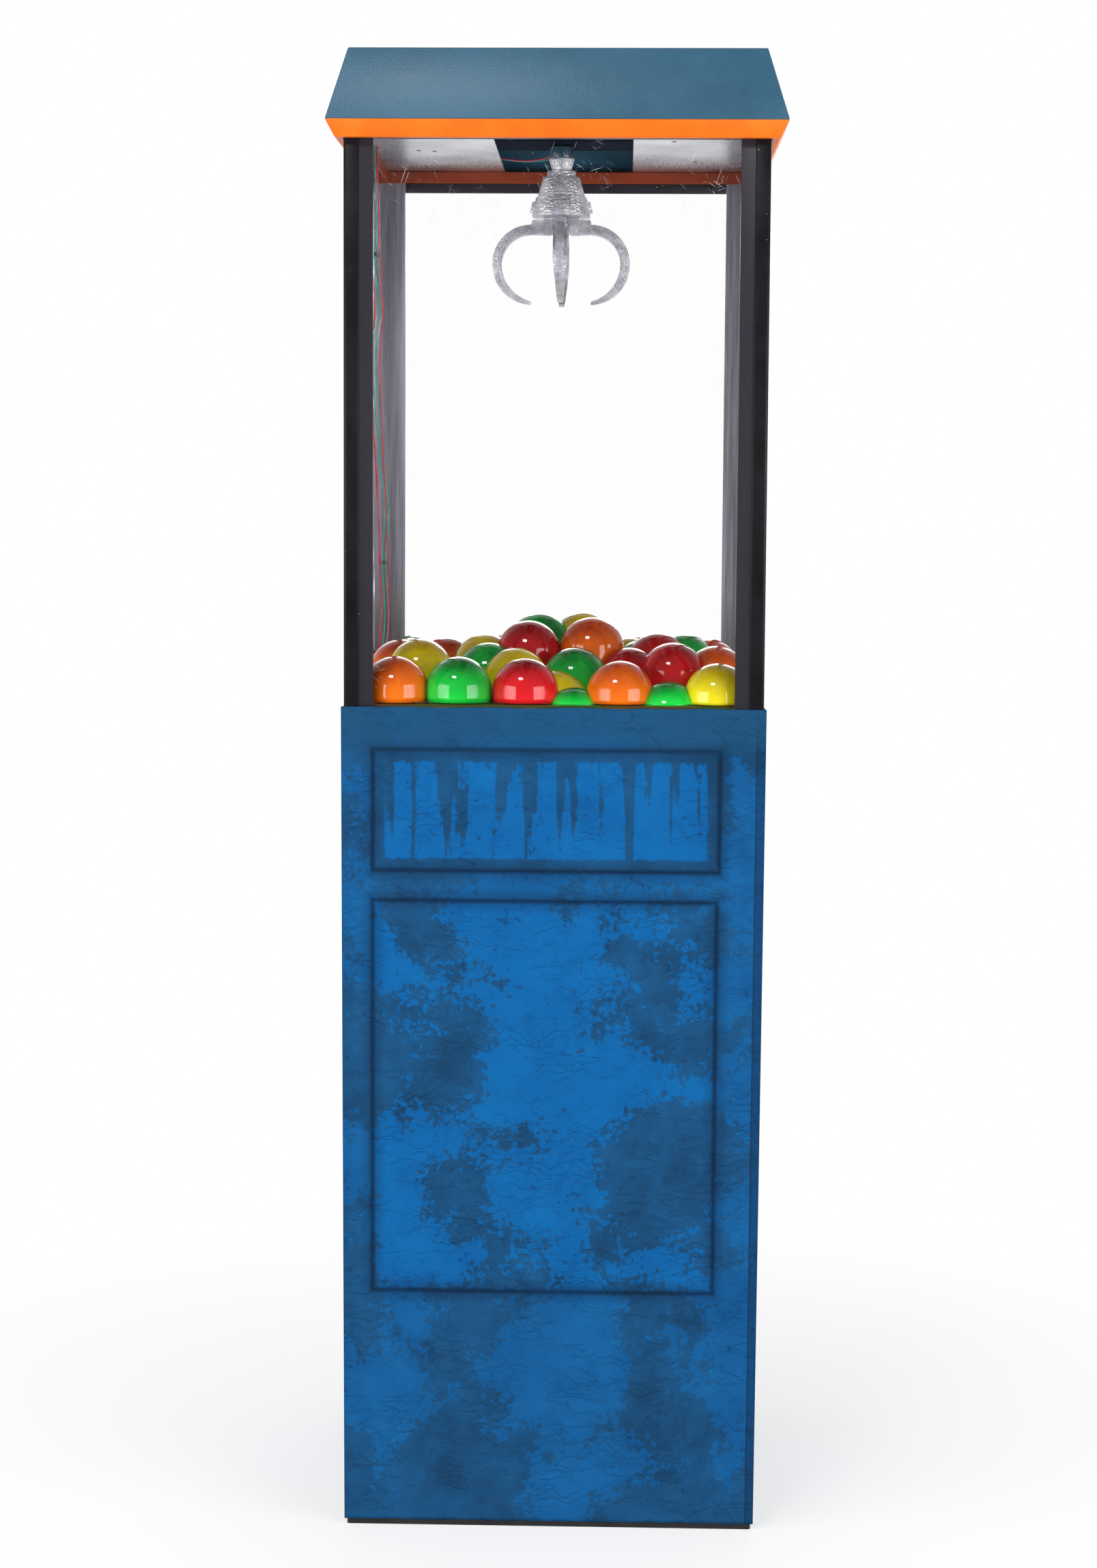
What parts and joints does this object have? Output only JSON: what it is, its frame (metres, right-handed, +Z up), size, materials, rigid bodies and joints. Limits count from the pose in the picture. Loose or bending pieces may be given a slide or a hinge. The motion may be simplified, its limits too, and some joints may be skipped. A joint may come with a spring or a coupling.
{
  "type": "claw machine",
  "caption": "Standing claw machine prop: a glazed case with a hanging hooked claw over a bed of coloured half balls, on a cloth-covered lower cabinet under a flat-topped roof.",
  "frame": {"origin": "middle of the base board's underside, on the floor", "axes": "+Z up, front faces -Y, +X to the right seen from the front"},
  "size_m": [0.464, 0.464, 1.524],
  "materials": {
    "board": "plain plywood board",
    "frame_steel": "black square tube",
    "felt_cloth": "blue felt with fine creases",
    "hook_tape": "dark hook tape",
    "black_frame": "satin near-black extrusion",
    "clear_sheet": "clear scratched acrylic sheet",
    "tray_sheet": "thin clear formed sheet",
    "red_shell": "glossy translucent red shell",
    "orange_shell": "glossy translucent orange shell",
    "yellow_shell": "glossy translucent yellow shell",
    "green_shell": "glossy translucent green shell",
    "orange_paint": "board painted satin orange",
    "blue_paint": "grey-blue textured paint",
    "silver_sheet": "satin silver sheet",
    "motor_steel": "plain steel",
    "black_plastic": "moulded black",
    "teal_plastic": "teal moulded cap",
    "silver_casting": "silver-painted casting",
    "red_wire": "red insulated wire",
    "teal_wire": "teal insulated wire"
  },
  "bodies": {
    "case": {"base_board": "board", "deck_board": "board", "front_left_leg": "frame_steel", "front_right_leg": "frame_steel", "rear_left_leg": "frame_steel", "rear_right_leg": "frame_steel", "sleeve_front": "felt_cloth", "sleeve_right": "felt_cloth", "sleeve_rear": "felt_cloth", "sleeve_left": "felt_cloth", "hook_strips": "hook_tape", "front_left_post": "black_frame", "front_right_post": "black_frame", "rear_left_post": "black_frame", "rear_right_post": "black_frame", "front_rail": "black_frame", "rear_rail": "black_frame", "left_rail": "black_frame", "right_rail": "black_frame", "front_window": "clear_sheet", "rear_window": "clear_sheet", "left_window": "clear_sheet", "right_window": "clear_sheet", "ball_tray": "tray_sheet", "red_balls": "red_shell", "orange_balls": "orange_shell", "yellow_balls": "yellow_shell", "green_balls": "green_shell", "eave_trim": "orange_paint", "roof_cap": "blue_paint", "left_ceiling_board": "silver_sheet", "right_ceiling_board": "silver_sheet", "motor_plate": "motor_steel", "motor_can": "motor_steel", "gearbox": "black_plastic", "battery_box": "black_plastic", "battery_lid": "black_plastic", "wire_clips": "black_plastic", "red_wire": "red_wire", "teal_wire": "teal_wire"},
    "claw": {"motor_shaft": "motor_steel", "claw_stem": "teal_plastic", "claw_bell": "silver_casting", "claw_hub": "silver_casting", "pivot_pins": "motor_steel"},
    "switch": {"power_switch": "black_plastic"},
    "right_finger": {"right_finger": "silver_casting"},
    "rear_finger": {"rear_finger": "silver_casting"},
    "left_finger": {"left_finger": "silver_casting"},
    "front_finger": {"front_finger": "silver_casting"}
  },
  "joints": [
    {"name": "claw_turn", "type": "hinge", "parent": "case", "child": "claw", "pos_m": [0, 0, 1.45], "axis": [0, 0, 1], "range_deg": [-45, 45]},
    {"name": "right_finger_pivot", "type": "hinge", "parent": "claw", "child": "right_finger", "pos_m": [0.013, 0, 1.3668], "axis": [0, 1, 0], "range_deg": [-6, 14]},
    {"name": "rear_finger_pivot", "type": "hinge", "parent": "claw", "child": "rear_finger", "pos_m": [0, 0.013, 1.3668], "axis": [-1, 0, 0], "range_deg": [-6, 14]},
    {"name": "left_finger_pivot", "type": "hinge", "parent": "claw", "child": "left_finger", "pos_m": [-0.013, 0, 1.3668], "axis": [0, -1, 0], "range_deg": [-6, 14]},
    {"name": "front_finger_pivot", "type": "hinge", "parent": "claw", "child": "front_finger", "pos_m": [0, -0.013, 1.3668], "axis": [1, 0, 0], "range_deg": [-6, 14]},
    {"name": "switch_slide", "type": "slide", "parent": "case", "child": "switch", "axis": [1, 0, 0], "range_m": [0, 0.004]}
  ]
}
